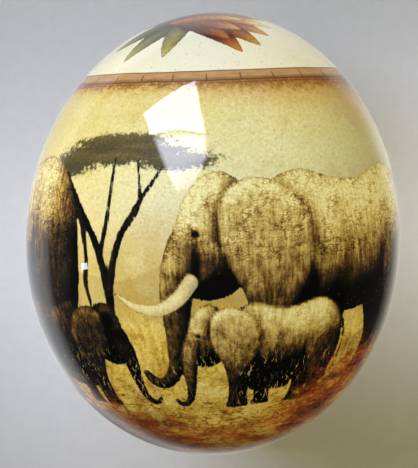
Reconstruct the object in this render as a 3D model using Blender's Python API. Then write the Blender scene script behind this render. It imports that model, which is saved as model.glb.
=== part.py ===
"""A decorated ostrich egg, lying on its side.

Units are metres and +Z is up. The egg's long axis lies along Y, with the slightly narrower
end at +Y. The origin is on the surface it rests on, midway between the two ends.
"""

import math

import bmesh
import bpy

# Driving dimensions
LENGTH = 0.150  # from end to end, along the axis
WIDTH = 0.127  # across the middle, where the egg is widest
NARROWING = 0.0245  # share by which the +Y half is slimmer and the -Y half fuller
REST_DEPTH = 0.0004  # how deep the small resting face cuts into the underside

# Fineness of the turned shape
SECTIONS = 44  # steps of the profile, from one end to the other
SEGMENTS = 72  # steps round the axis

# Finish
SHELL_COLOUR = (0.66, 0.50, 0.26, 1.0)  # warm golden cream, linear
SHELL_ROUGHNESS = 0.16

SMOOTH_ANGLE = math.radians(4.5)  # wider than a step of the turned shape
MERGE_DISTANCE = 1e-6


def profile_point(angle):
    """Position along the axis and radius there; angle runs from the narrow end to the wide one."""
    along = 0.5 * LENGTH * math.cos(angle)
    radius = 0.5 * WIDTH * math.sin(angle) * (1.0 - NARROWING * math.cos(angle))
    return along, radius


def turned_egg():
    """The profile, turned about the Y axis into one closed skin."""
    mesh = bmesh.new()
    rim = []
    for step in range(SECTIONS + 1):
        along, radius = profile_point(math.pi * step / SECTIONS)
        rim.append(mesh.verts.new((0.0, along, -radius)))
    edges = [mesh.edges.new(pair) for pair in zip(rim, rim[1:])]
    bmesh.ops.spin(
        mesh,
        geom=rim + edges,
        cent=(0.0, 0.0, 0.0),
        axis=(0.0, 1.0, 0.0),
        angle=math.tau,
        steps=SEGMENTS,
        use_merge=True,
    )
    bmesh.ops.remove_doubles(mesh, verts=mesh.verts, dist=MERGE_DISTANCE)
    bmesh.ops.recalc_face_normals(mesh, faces=mesh.faces)
    return mesh


def cut_rest_face(mesh):
    """Cuts the small flat on the underside that the egg lies on, and sets it at height zero."""
    floor_height = REST_DEPTH - 0.5 * WIDTH
    cut = bmesh.ops.bisect_plane(
        mesh,
        geom=mesh.verts[:] + mesh.edges[:] + mesh.faces[:],
        plane_co=(0.0, 0.0, floor_height),
        plane_no=(0.0, 0.0, -1.0),
        clear_outer=True,
    )
    border = [item for item in cut["geom_cut"] if isinstance(item, bmesh.types.BMEdge)]
    bmesh.ops.contextual_create(mesh, geom=border)
    bmesh.ops.translate(mesh, verts=mesh.verts, vec=(0.0, 0.0, -floor_height))
    bmesh.ops.recalc_face_normals(mesh, faces=mesh.faces)


def shell_material():
    material = bpy.data.materials.new("varnished_shell")
    material.use_nodes = True
    shader = material.node_tree.nodes["Principled BSDF"]
    shader.inputs["Base Color"].default_value = SHELL_COLOUR
    shader.inputs["Roughness"].default_value = SHELL_ROUGHNESS
    shader.inputs["Metallic"].default_value = 0.0
    return material


def make_egg():
    shape = turned_egg()
    cut_rest_face(shape)
    mesh = bpy.data.meshes.new("egg")
    shape.to_mesh(mesh)
    shape.free()
    mesh.shade_smooth()
    mesh.set_sharp_from_angle(angle=SMOOTH_ANGLE)
    mesh.materials.append(shell_material())
    egg = bpy.data.objects.new("egg", mesh)
    bpy.context.scene.collection.objects.link(egg)
    return egg


for old in list(bpy.data.objects):
    bpy.data.objects.remove(old, do_unlink=True)
make_egg()
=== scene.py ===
# %% [markdown]
# # A decorated ostrich egg
#
# The object is one ostrich egg lying on its side. Its shell carries a printed savanna picture in
# sepia, pasted on in paper and sealed under glossy varnish, so nearly all of the look is in how
# one smooth surface is coloured. This lesson shapes a fine egg on the frame of the plain solid,
# draws the picture with curves, keeps the drawing on the mesh as numbers, and lets a material
# turn those numbers into ink, paper, pores and gloss.

# %% Load the frame
import math

import bpy
import numpy as np
from mathutils import Matrix, Vector


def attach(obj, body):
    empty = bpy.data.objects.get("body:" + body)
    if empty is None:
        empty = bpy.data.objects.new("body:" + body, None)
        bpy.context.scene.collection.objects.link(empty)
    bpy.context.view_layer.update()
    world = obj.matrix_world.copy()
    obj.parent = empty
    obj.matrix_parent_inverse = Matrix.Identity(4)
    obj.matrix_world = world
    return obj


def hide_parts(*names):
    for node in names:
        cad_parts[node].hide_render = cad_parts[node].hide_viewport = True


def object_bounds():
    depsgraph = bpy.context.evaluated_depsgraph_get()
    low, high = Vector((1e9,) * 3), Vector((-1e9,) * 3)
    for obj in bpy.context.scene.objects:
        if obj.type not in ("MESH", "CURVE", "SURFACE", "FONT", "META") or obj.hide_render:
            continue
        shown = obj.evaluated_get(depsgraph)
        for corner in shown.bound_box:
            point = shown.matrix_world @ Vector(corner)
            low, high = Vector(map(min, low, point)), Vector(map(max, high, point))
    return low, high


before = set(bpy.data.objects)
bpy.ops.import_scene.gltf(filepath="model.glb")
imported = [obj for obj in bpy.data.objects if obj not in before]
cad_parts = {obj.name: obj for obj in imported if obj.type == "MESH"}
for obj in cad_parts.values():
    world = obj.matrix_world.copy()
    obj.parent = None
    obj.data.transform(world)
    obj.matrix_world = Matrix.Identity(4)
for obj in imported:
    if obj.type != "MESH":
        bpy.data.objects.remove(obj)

MM = 0.001
cad_low, cad_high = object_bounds()
egg_width, egg_length, egg_height = cad_high - cad_low
print(f"egg {egg_width / MM:.1f} x {egg_length / MM:.1f} x {egg_height / MM:.1f} mm")

# %% [markdown]
# ## The camera
#
# The egg is seen from above with its narrower end at the top of the picture. The camera stands
# a little past that end, so that the crown shows more than the base, and it is turned slightly,
# so that the long axis leans to the right. The lens is long and the camera some way off, because
# a near one would swell the middle.

# %% Place the camera
CAMERA_DISTANCE = 0.60
CAMERA_TILT = math.radians(3.8)
CAMERA_ROLL = math.radians(2.73)
CAMERA_AIM = (-0.0014, 0.0)  # from the egg's middle, right and up in the picture
FRAME_WIDTH = 0.1424  # how much of the egg's middle plane the picture is wide

axis_height = cad_high.z - 0.5 * egg_width
egg_middle = Vector((0.0, 0.0, axis_height))
camera_data = bpy.data.cameras.new("camera")
camera_data.sensor_fit = "HORIZONTAL"
camera_data.lens = camera_data.sensor_width * CAMERA_DISTANCE / FRAME_WIDTH
camera = bpy.data.objects.new("camera", camera_data)
bpy.context.scene.collection.objects.link(camera)
camera_turn = Matrix.Rotation(-CAMERA_TILT, 4, "X") @ Matrix.Rotation(CAMERA_ROLL, 4, "Z")
camera_offset = Vector((*CAMERA_AIM, CAMERA_DISTANCE))
camera.matrix_world = Matrix.Translation(egg_middle + camera_turn @ camera_offset) @ camera_turn
bpy.context.scene.camera = camera
print(f"lens {camera_data.lens:.0f} mm, egg axis {axis_height / MM:.1f} mm above the floor")

# %% [markdown]
# ## Helpers for surfaces
#
# In Blender a surface is a tree of small nodes, each of which does one sum or mixes two colours.
# The tree of a whole printed picture would be too large to follow when joined by hand. So each
# kind of node gets a short function here, which adds it, links what goes in and hands back what
# comes out. A surface then reads like a sum.

# %% Do sums with nodes
def wire(value, socket):
    """Links another node's output to the socket, or sets a plain value there."""
    if isinstance(value, bpy.types.NodeSocket):
        tree.links.new(value, socket)
    else:
        socket.default_value = value


def maths(operation, *values):
    node = tree.nodes.new("ShaderNodeMath")
    node.operation = operation
    for value, socket in zip(values, node.inputs):
        wire(value, socket)
    return node.outputs["Value"]


def plus(value, other):
    return maths("ADD", value, other)


def minus(value, other):
    return maths("SUBTRACT", value, other)


def times(value, other):
    return maths("MULTIPLY", value, other)


def times_plus(value, factor, other):
    return maths("MULTIPLY_ADD", value, factor, other)


def step(value, low, high, below=0.0, above=1.0):
    """Goes softly from one number, where the value is under low, to the other over high."""
    node = tree.nodes.new("ShaderNodeMapRange")
    node.interpolation_type = "SMOOTHSTEP"
    for given, name in zip((value, low, high, below, above),
                           ("Value", "From Min", "From Max", "To Min", "To Max")):
        wire(given, node.inputs[name])
    return node.outputs["Result"]


print("sums with nodes: plus, minus, times, times_plus, step")


# %% Mix colours and make patterns with nodes
def blend(share, below, above, mode="MIX"):
    """Lays a colour over another by a share between 0 and 1."""
    node = tree.nodes.new("ShaderNodeMix")
    node.data_type = "RGBA"
    node.blend_type = mode
    wire(share, node.inputs["Factor"])
    layers = [socket for socket in node.inputs if socket.type == "RGBA"]
    for layer, socket in zip((below, above), layers):
        wire((*layer, 1.0) if isinstance(layer, tuple) else layer, socket)
    return [socket for socket in node.outputs if socket.type == "RGBA"][0]


def ramp(value, stops):
    """Turns a number into a colour, through stops of place and colour."""
    node = tree.nodes.new("ShaderNodeValToRGB")
    band = node.color_ramp
    for place, colour in stops[1:-1]:
        band.elements.new(place)
    for element, (place, colour) in zip(band.elements, stops):
        element.position = place
        element.color = (*colour, 1.0)
    wire(value, node.inputs["Fac"])
    return node.outputs["Color"]


def noise(place, size, detail=3.0, roughness=0.55):
    """Noise around zero, with spots of about that size."""
    node = tree.nodes.new("ShaderNodeTexNoise")
    wire(place, node.inputs["Vector"])
    node.inputs["Scale"].default_value = 1.0 / size
    node.inputs["Detail"].default_value = detail
    node.inputs["Roughness"].default_value = roughness
    return minus(node.outputs["Fac"], 0.5)


def parts_of(place):
    """The three numbers of a place."""
    node = tree.nodes.new("ShaderNodeSeparateXYZ")
    wire(place, node.inputs["Vector"])
    return node.outputs


print("colours and patterns with nodes: blend, ramp, noise, and parts_of for places")

# %% [markdown]
# ## The floor
#
# The egg lies on a plain pale surface, here a plane with a faint mottle. Towards its rim the
# varnish mirrors that floor, and a real floor isn't lit evenly: it is brighter on the window's
# side, dull right beside the egg and dim far off. Lights alone can't do all that without spoiling
# the plain floor, so its material paints that light and shade where only the gloss sees it.

# %% Lay the floor
FLOOR_SIZE = 6.0
FLOOR_COLOUR = (0.435, 0.435, 0.46)
FLOOR_MOTTLE = 0.004  # metres
MOTTLE_TONES = [(0.3, (0.94, 0.94, 0.94)), (0.7, (1.0, 1.0, 1.0))]

bpy.ops.object.select_all(action="DESELECT")
bpy.ops.mesh.primitive_plane_add(size=FLOOR_SIZE)
floor = bpy.context.object
floor.name = "floor"
floor_paint = bpy.data.materials.new("pale_floor")
floor_paint.use_nodes = True
tree = floor_paint.node_tree
floor_place = tree.nodes.new("ShaderNodeTexCoord").outputs["Object"]
mottle = ramp(plus(noise(floor_place, FLOOR_MOTTLE, 4.0, 0.65), 0.5), MOTTLE_TONES)
floor_colour = blend(1.0, FLOOR_COLOUR, mottle, "MULTIPLY")
print(f"the floor is {FLOOR_SIZE:.0f} m wide")

# %% Paint the floor's light and shade, as the varnish sees it
# Painted light and shade of the floor, which only the varnish mirrors: dull beside the egg, darkest
# left of its base, dim far off and brighter towards the right.
MIRRORED_SPOTS = [  # a place, two distances from it in metres, and the brightness at each
    ((-0.06, 0.04, 0.0), (0.07, 0.12), (0.65, 1.0)),  # dull beside the egg
    ((-0.032, -0.088, 0.0), (0.01, 0.05), (0.30, 1.0)),  # and most of all left of its base
]
MIRRORED_FADE = (0.15, 0.23)  # metres from the first spot, over which it grows dim
MIRRORED_DIM = 0.06
MIRRORED_SIDES = (-0.1, 0.1, 2.1, 1.3)  # metres to the right, and the brightness at each
MIRRORED_RIM = (0.06, 0.10, 1.0, 1.35)  # brighter again from 60 to 100 mm to the right
FLOOR_ROUGHNESS = 0.6
FLOOR_SPECULAR = 0.2


def from_spot(spot):
    node = tree.nodes.new("ShaderNodeVectorMath")
    node.operation = "DISTANCE"
    wire(floor_place, node.inputs[0])
    wire(spot, node.inputs[1])
    return node.outputs["Value"]


rightwards = parts_of(floor_place)["X"]
full = step(rightwards, *MIRRORED_SIDES)
painted_floor_light = step(from_spot(MIRRORED_SPOTS[0][0]), *reversed(MIRRORED_FADE), MIRRORED_DIM, full)
for spot, distances, shares in MIRRORED_SPOTS:
    painted_floor_light = times(painted_floor_light, step(from_spot(spot), *distances, *shares))
painted_floor_light = times(painted_floor_light, step(rightwards, *MIRRORED_RIM))
seen_in_gloss = tree.nodes.new("ShaderNodeLightPath").outputs["Is Glossy Ray"]
painted_floor_colour = blend(1.0, floor_colour, painted_floor_light, "MULTIPLY")
floor_shader = tree.nodes["Principled BSDF"]
wire(blend(seen_in_gloss, floor_colour, painted_floor_colour), floor_shader.inputs["Base Color"])
floor_shader.inputs["Roughness"].default_value = FLOOR_ROUGHNESS
floor_shader.inputs["Specular IOR Level"].default_value = FLOOR_SPECULAR
floor.data.materials.append(floor_paint)
print(f"the floor's material has {len(tree.nodes)} nodes")

# %% [markdown]
# ## The light
#
# Under a cool key light from the upper left, the egg throws a soft shadow to the lower right, and
# the warm, dim room fills it. The key hangs far off, so that it lights the floor evenly, and
# three soft spots lift the floor beside the egg. The bright patch on the varnish is a window: two
# panes with a bar between them, hung where the shell mirrors them into the camera. It could be a
# bright plane, but an area light whose nodes shine inside the panes alone lets each edge have its
# own softness. The window and one small lamp are seen in the gloss only, and the other lights in
# the shading only, so that each can be set on its own.

# %% Place a light so that it faces a spot
def face_light(data, toward, target, distance, aside=(0.0, 0.0)):
    """Hangs a light that way from the target, shifted in its own plane."""
    light = bpy.data.objects.new(data.name, data)
    turn = Vector(toward).to_track_quat("Z", "Y").to_matrix().to_4x4()
    offset = Vector((*aside, distance))
    light.matrix_world = Matrix.Translation(target + turn @ offset) @ turn
    bpy.context.scene.collection.objects.link(light)
    print(f"{data.name} hangs {distance:.1f} m off")
    return light


def panel(name, radiance, size, colour):
    data = bpy.data.lights.new(name, "AREA")
    data.shape = "RECTANGLE"
    data.size, data.size_y = size
    data.energy = radiance * math.pi * size[0] * size[1]
    data.color = colour
    return data


# %% Hang the key light
KEY_DIRECTION = (-0.585, 0.335, 0.78)
KEY_COLOUR = (0.81, 0.955, 1.39)
KEY_RADIANCE = 12.6
KEY_SIZE = (0.94, 0.94)
KEY_DISTANCE = 2.5

key_data = panel("key", KEY_RADIANCE, KEY_SIZE, KEY_COLOUR)
key = face_light(key_data, KEY_DIRECTION, egg_middle, KEY_DISTANCE)
key.visible_glossy = False

# %% Hang the spots that light pools on the floor
POOL_COLOUR = (1.0, 0.98, 0.96)
POOL_DISTANCE = 1.2
POOL_SOURCE = 0.05  # radius of what shines, which softens the egg's shadow in them
POOLS = [  # its middle on the floor, where from, power, spread in degrees
    ((-0.050, -0.014, 0.0), (-0.40, 0.10, 0.91), 62.5, 8.4),
    ((0.088, 0.004, 0.0), (0.45, 0.20, 0.87), 82.0, 5.4),
    ((-0.018, -0.090, 0.0), (-0.10, -0.55, 0.83), 19.0, 3.8),
]

for number, (middle, direction, power, spread) in enumerate(POOLS, 1):
    pool_data = bpy.data.lights.new(f"pool_{number}", "SPOT")
    pool_data.energy = power
    pool_data.color = POOL_COLOUR
    pool_data.spot_size = math.radians(spread)
    pool_data.spot_blend = 1.0
    pool_data.shadow_soft_size = POOL_SOURCE
    pool = face_light(pool_data, direction, Vector(middle), POOL_DISTANCE)
    pool.visible_glossy = False

# %% Hang the window
WINDOW_DIRECTION = (-0.415, 0.816, 0.402)
WINDOW_DISTANCE = 1.0
WINDOW_COLOUR = (0.88, 0.94, 1.12)
WINDOW_RADIANCE = 13.5
WINDOW_MIDDLE = (0.0, 0.32)  # metres leftwards and downwards from that direction
WINDOW_SIZE = (0.60, 1.12)
WINDOW_FADE = (0.48, 0.84, 1.0, 0.35)  # metres downwards, and the brightness at each
PANES = [  # corners in metres leftwards and downwards, softness of the edge, brightness
    ([(0.235, -0.145), (-0.25, -0.185), (-0.25, 0.352), (0.25, 0.085)], 0.009, 1.0),
    ([(0.215, 0.145), (-0.235, 0.385), (-0.21, 0.60), (0.06, 0.84), (0.23, 0.76)], 0.034, 0.95),
]

window_data = panel("window", WINDOW_RADIANCE, WINDOW_SIZE, WINDOW_COLOUR)
window_data.use_nodes = True
tree = window_data.node_tree
spot = parts_of(tree.nodes.new("ShaderNodeNewGeometry").outputs["Parametric"])
leftwards, downwards = (
    times_plus(minus(spot[axis], 0.5), size, middle)
    for axis, size, middle in zip("XY", WINDOW_SIZE, WINDOW_MIDDLE)
)
shine = 0.0
for corners, softness, brightness in PANES:
    depth = 1.0  # how far inside every edge, in metres
    for (x, y), (next_x, next_y) in zip(corners, corners[1:] + corners[:1]):
        length = math.hypot(next_x - x, next_y - y)
        inward_x, inward_y = (next_y - y) / length, (x - next_x) / length
        from_edge = times_plus(downwards, inward_y, -(x * inward_x + y * inward_y))
        depth = maths("MINIMUM", depth, times_plus(leftwards, inward_x, from_edge))
    shine = plus(shine, step(depth, -softness, softness, 0.0, brightness))
shine = times(shine, step(downwards, *WINDOW_FADE))
wire(shine, tree.nodes["Emission"].inputs["Strength"])
window = face_light(window_data, WINDOW_DIRECTION, egg_middle, WINDOW_DISTANCE, WINDOW_MIDDLE)
window.visible_diffuse = False

# %% Let the window light the room, and hang the small lamp that shows as a white speck
GLOW_RADIANCE = 2.0
GLOW_SIZE = (1.2, 1.2)
GLOW_DISTANCE = 2.0
LAMP_DIRECTION = (-0.963, -0.203, 0.16)
LAMP_RADIANCE = 16.0
LAMP_SIZE = (0.038, 0.08)

glow_data = panel("window_glow", GLOW_RADIANCE, GLOW_SIZE, KEY_COLOUR)
window_glow = face_light(glow_data, WINDOW_DIRECTION, egg_middle, GLOW_DISTANCE)
window_glow.visible_glossy = False
lamp_data = panel("lamp", LAMP_RADIANCE, LAMP_SIZE, WINDOW_COLOUR)
lamp = face_light(lamp_data, LAMP_DIRECTION, egg_middle, WINDOW_DISTANCE)
lamp.visible_diffuse = False

# %% Hang a weak warm fill on the other side
FILL_DIRECTION = (0.88, 0.10, 0.45)
FILL_COLOUR = (1.05, 0.95, 0.66)
FILL_RADIANCE = 2.4
FILL_SIZE = (1.4, 1.0)
FILL_DISTANCE = 1.6

fill_data = panel("fill", FILL_RADIANCE, FILL_SIZE, FILL_COLOUR)
fill = face_light(fill_data, FILL_DIRECTION, egg_middle, FILL_DISTANCE)
fill.visible_glossy = False

# %% Fill the room
ROOM_COLOUR = (0.40, 0.355, 0.12)  # what lights the shadow
DIM_COLOUR = (0.010, 0.010, 0.011)  # what the varnish mirrors
SEEN_COLOUR = (0.40, 0.40, 0.41)  # what shows behind the floor from low down

world = bpy.data.worlds.new("room")
world.use_nodes = True
tree = world.node_tree
rays = tree.nodes.new("ShaderNodeLightPath").outputs
room = blend(rays["Is Glossy Ray"], ROOM_COLOUR, DIM_COLOUR)
wire(blend(rays["Is Camera Ray"], room, SEEN_COLOUR), tree.nodes["Background"].inputs["Color"])
bpy.context.scene.world = world
bpy.context.scene.view_settings.view_transform = "Standard"
print(f"the room has {len(bpy.data.lights)} lights")

# %% [markdown]
# ## The shape of the egg
#
# An egg's outline is nearly an ellipse, with one end a little slimmer. It could be turned from a
# profile, but a sphere is the quicker start: it is stretched to the egg's width and length, and
# each ring is made a little slimmer towards +Y and fuller towards -Y. The steps round the axis
# are drawn together on the upper side, where the main picture is, because the drawing is kept on
# the mesh's points and is as sharp as they are close.

# %% Begin with a fine sphere
AROUND_STEPS = 368
ALONG_STEPS = 264

bpy.ops.object.select_all(action="DESELECT")
bpy.ops.mesh.primitive_uv_sphere_add(segments=AROUND_STEPS, ring_count=ALONG_STEPS, radius=1.0)
egg = bpy.context.object
egg.name = "decorated_shell"
mesh = egg.data
bpy.ops.object.mode_set(mode="EDIT")
bpy.ops.transform.rotate(value=math.radians(90), orient_axis="X", center_override=(0, 0, 0))
bpy.ops.object.mode_set(mode="OBJECT")
print(f"a sphere of {len(mesh.polygons)} faces, with its axis along Y")

# %% Stretch it into an egg
NARROWING = 0.0245  # share by which the +Y half is slimmer and the -Y half fuller
CROWDING = 0.26  # how strongly the steps gather on the upper side


def points_of(mesh):
    """The mesh's points, as rows of three numbers."""
    points = np.empty(len(mesh.vertices) * 3)
    mesh.vertices.foreach_get("co", points)
    return points.reshape(-1, 3)


points = points_of(mesh)
turn = np.arctan2(points[:, 0], points[:, 2])
turn -= CROWDING * np.sin(turn)
ring = np.hypot(points[:, 0], points[:, 2]) * (1.0 - NARROWING * points[:, 1])
points[:, 0] = 0.5 * egg_width * ring * np.sin(turn)
points[:, 1] *= 0.5 * egg_length
points[:, 2] = 0.5 * egg_width * ring * np.cos(turn) + axis_height
mesh.vertices.foreach_set("co", points.ravel())
mesh.update()
print("stretched to", [round(side / MM, 1) for side in np.ptp(points, axis=0)], "mm")

# %% [markdown]
# ## Where the egg rests
#
# A real egg touches what it lies on in one point. A small flat, less than half a millimetre deep,
# stands for that point, as on the plain solid, so that the egg meets the floor and doesn't dip
# into it. One cut with a level plane makes it. The egg is then shaded smooth, all but the edge
# of that flat.

# %% Cut the small resting face
SMOOTH_ANGLE = math.radians(4)  # wider than a step of the mesh

bpy.ops.object.mode_set(mode="EDIT")
bpy.ops.mesh.select_all(action="SELECT")
bpy.ops.mesh.bisect(
    plane_co=(0, 0, 0), plane_no=(0, 0, -1), use_fill=True, clear_outer=True, threshold=1e-7
)
bpy.ops.mesh.select_all(action="SELECT")
bpy.ops.mesh.normals_make_consistent(inside=False)
bpy.ops.object.mode_set(mode="OBJECT")
bpy.ops.object.shade_smooth_by_angle(angle=SMOOTH_ANGLE)
print(f"the egg has {len(mesh.vertices)} points and {len(mesh.polygons)} faces")

# %% [markdown]
# ## Where the picture lies
#
# A flat picture has two directions, and so does the egg: around it and along it. The print was
# not pasted on quite straight, so its own axis leans a few degrees from the egg's. Each point
# of the mesh gets its place on the print in millimetres, `around` from the middle of the upper
# side and `along` from the middle of the egg towards the crown. No unwrapping is needed, because
# an egg is regular enough for a formula.

# %% Find each point's place on the print
PRINT_LEAN = math.radians(5.0)
ALONG_SCALE = 70.0  # millimetres of print to a radian along

points = (points_of(mesh) - np.array(egg_middle)) / MM
print_x = points[:, 0] * math.cos(PRINT_LEAN) + points[:, 1] * math.sin(PRINT_LEAN)
print_y = points[:, 1] * math.cos(PRINT_LEAN) - points[:, 0] * math.sin(PRINT_LEAN)
print_z = points[:, 2]
around_scale = 0.5 * egg_width / MM  # millimetres of print to a radian around
full_turn = math.tau * around_scale
around = np.arctan2(print_x, print_z) * around_scale
along = np.arctan2(print_y / egg_length, np.hypot(print_x, print_z) / egg_width) * ALONG_SCALE
places = np.stack([around, along], axis=1)
print(f"the print is {full_turn:.0f} mm around and {np.ptp(along):.0f} mm along")

# %% [markdown]
# ## Tools for drawing on the egg
#
# A form in the picture, such as a leg or an ear, is a closed line through a few marks. For every
# point of the mesh the code works out how deep inside the form it lies, in the way that a signed
# distance field does. The depth is kept rather than a plain yes or no, because it changes evenly
# from point to point: the material can cut it at zero and get an edge much sharper than the mesh
# is fine. The same depth tells how a rounded form would lean, and so how it catches the light.

# %% Draw smooth lines through marks
LINE_PIECES = 6  # straight pieces between two marks


def smoothstep(low, high, value):
    share = np.clip((value - low) / (high - low), 0.0, 1.0)
    return share * share * (3.0 - 2.0 * share)


def curve_through(marks, closed):
    """A Catmull-Rom line, which passes through every mark."""
    marks = np.array(marks, float)
    if closed:
        starts = marks
        before, after, beyond = (np.roll(marks, places_on, axis=0) for places_on in (1, -1, -2))
    else:
        padded = np.vstack([marks[:1], marks, marks[-1:]])
        before, starts, after, beyond = padded[:-3], padded[1:-2], padded[2:-1], padded[3:]
    line = []
    for a, b, c, d in zip(before, starts, after, beyond):
        for share in np.arange(LINE_PIECES) / LINE_PIECES:
            bend = (2 * a - 5 * b + 4 * c - d) * share + (3 * b - a - 3 * c + d) * share**2
            line.append(b + 0.5 * share * (c - a + bend))
    if not closed:
        line.append(marks[-1])
    return np.array(line)


SQUARE = [(0, 0), (1, 0), (1, 1), (0, 1)]  # to try the tools on
square_line = curve_through(SQUARE, True)
print(f"a closed line through {len(SQUARE)} marks has {len(square_line)} points")


# %% Find what lies near a line, and inside it
def nearest_on(line, spots, closed):
    """Each spot's offset from the nearest place on the line, and how far along that place is."""
    ends = np.roll(line, -1, axis=0) if closed else line[1:]
    best = np.full(len(spots), np.inf)
    offset = np.zeros_like(spots)
    share = np.zeros(len(spots))
    for number, (start, end) in enumerate(zip(line, ends)):
        run = end - start
        part = np.clip((spots - start) @ run / max(run @ run, 1e-12), 0.0, 1.0)
        gap = spots - start - part[:, None] * run
        size = gap[:, 0] ** 2 + gap[:, 1] ** 2
        closer = size < best
        best[closer] = size[closer]
        offset[closer] = gap[closer]
        share[closer] = (number + part[closer]) / len(ends)
    return offset, share


def is_inside(line, spots):
    """Counts how often a level line from each spot crosses the outline: odd means inside."""
    inside = np.zeros(len(spots), bool)
    for start, end in zip(line, np.roll(line, -1, axis=0)):
        crosses = (start[1] > spots[:, 1]) != (end[1] > spots[:, 1])
        rise = end[1] - start[1] or 1e-9
        side = start[0] + (spots[:, 1] - start[1]) / rise * (end[0] - start[0])
        inside ^= crosses & (spots[:, 0] < side)
    return inside


middle = np.array([(0.5, 0.5)])
print("the middle of the square is inside its line:", bool(is_inside(square_line, middle)[0]))

# %% [markdown]
# ## A sketch of one animal or plant
#
# An engraver would work on one figure at a time, and so does the code. A sketch takes the points
# of the mesh near one foot on the ground, works in units of its own, and lays forms, strokes and
# soft brush marks over one another. What comes later hides what was there, as with paint. The
# result is one number for each point and layer, such as how deep in an animal's hide it lies and
# how light that hide is.

# %% Set out the layers of the drawing
NOWHERE = -30.0  # the depth of a layer where nothing of it is drawn, in mm
MASKS = ("hide", "ivory", "tree", "petal", "leaf")
SHADES = ("tone", "leafage", "glow", "wrinkle")

drawing = {name: np.full(len(places), NOWHERE) for name in MASKS}
for name in SHADES:
    drawing[name] = np.full(len(places), 0.5)
print(f"{len(drawing)} layers of {len(places)} numbers each")

# %% Begin a sketch at one foot
LIGHT = np.array((-0.45, 0.62, 0.64))  # where the light in the picture comes from
MARGIN = 0.7  # of its height, which a sketch reaches up and down from its middle


class Sketch:
    """The points round a foot, in units of its own, facing left with 1 or right with -1."""

    def __init__(self, foot, size, facing=1, reach=7.2, top=7.0):
        spots = (places - np.array(foot)) / size
        turn = full_turn / size
        spots[:, 0] = facing * (spots[:, 0] - turn * np.round(spots[:, 0] / turn))
        beside = np.abs(spots[:, 0]) < reach
        self.near = beside & (np.abs(spots[:, 1] - 0.5 * top) < MARGIN * top)
        self.spots = spots[self.near]
        self.across, self.height = self.spots.T
        self.size = size
        self.light = LIGHT * (facing, 1, 1)
        self.layers = {name: values[self.near] for name, values in drawing.items()}


trial = Sketch((0, 0), 10.0)
print(f"a sketch with 10 mm to a unit takes in {len(trial.spots)} points")

# %% Find the depth and the light of a form
STEEPEST = 0.97  # how far a rounded rim leans away, where 1 is all the way


def lit(sketch, offset, steep):
    """How brightly a surface catches the light that leans along the offset that steeply."""
    length = np.maximum(np.hypot(offset[:, 0], offset[:, 1]), 1e-9)
    slope = steep / np.sqrt(1.0 - steep**2) / length
    normal = np.stack([offset[:, 0] * slope, offset[:, 1] * slope, np.ones_like(slope)], axis=1)
    return np.clip(normal @ sketch.light / np.linalg.norm(normal, axis=1), 0.0, 1.0)


def form(sketch, marks, bulge):
    """A closed form with a rim rounded over that width: the depth in it, and its light."""
    line = curve_through(marks, True)
    offset, _ = nearest_on(line, sketch.spots, True)
    distance = np.hypot(offset[:, 0], offset[:, 1])
    inside = is_inside(line, sketch.spots)
    steep = np.where(inside, -np.clip(1.0 - distance / bulge, 0.0, STEEPEST), STEEPEST)
    return np.where(inside, distance, -distance), lit(sketch, offset, steep)


def stroke(sketch, marks, widths):
    """A round tapering stroke: the depth in it, its light, and the share along it."""
    offset, share = nearest_on(curve_through(marks, False), sketch.spots, False)
    radius = np.interp(share * (len(widths) - 1), np.arange(len(widths)), widths)
    across = np.hypot(offset[:, 0], offset[:, 1]) / radius
    light = lit(sketch, offset, np.clip(across, 0.0, STEEPEST))
    return radius * (1.0 - across), light, share


square_depth, square_light = form(trial, SQUARE, bulge=0.5)
print(f"a square of 10 mm is {square_depth.max() * trial.size:.1f} mm deep in the middle")

# %% Lay forms over one another, and touch them up
SOFTNESS = 0.5  # half the width of the blend where one form overlaps another, in mm
BESIDE_DARKENS = 0.45  # how much of the light a form takes from what lies beside it
BESIDE_REACH = 3.0  # how far that goes, in softnesses
LEAST_COVER = 0.05  # where a form covers less than this, the masks stay as they are


def lay(sketch, layer, shade, depth, tone, cover=1.0):
    """Lays a form over what is there, and darkens what lies beside it a little."""
    layers = sketch.layers
    soft = SOFTNESS / sketch.size
    beside = np.exp(-np.maximum(-depth, 0.0) / (BESIDE_REACH * soft)) * cover
    layers[shade] *= 1.0 - BESIDE_DARKENS * beside
    share = smoothstep(-soft, soft, depth) * cover
    layers[shade] += share * (tone - layers[shade])
    covered = cover > LEAST_COVER
    deeper = np.maximum(layers[layer], depth * sketch.size)
    layers[layer] = np.where(covered, deeper, layers[layer])
    hidden = np.minimum(layers["ivory"], -depth * sketch.size)
    layers["ivory"] = np.where(covered, hidden, layers["ivory"])


def touch(sketch, marks, width, amount):
    """A soft brush mark that lightens what is there, or darkens it."""
    offset, _ = nearest_on(curve_through(marks, False), sketch.spots, False)
    fall = np.exp(-(offset[:, 0] ** 2 + offset[:, 1] ** 2) / width**2)
    sketch.layers["tone"] += amount * fall


def keep(sketch):
    for name, values in sketch.layers.items():
        drawing[name][sketch.near] = values


lay(trial, "hide", "tone", square_depth, square_light)  # the trial isn't kept
print(f"the square covers {np.count_nonzero(trial.layers['hide'] > 0)} points")

# %% [markdown]
# ## Trees
#
# The flat-topped tree of the savanna is a few bending limbs under a plate of leaves. Leaf by leaf
# it would need far more points than the mesh has. So the plate is built of flat ellipses, and the
# material later eats into their edges with noise, which turns them into foliage.

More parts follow.
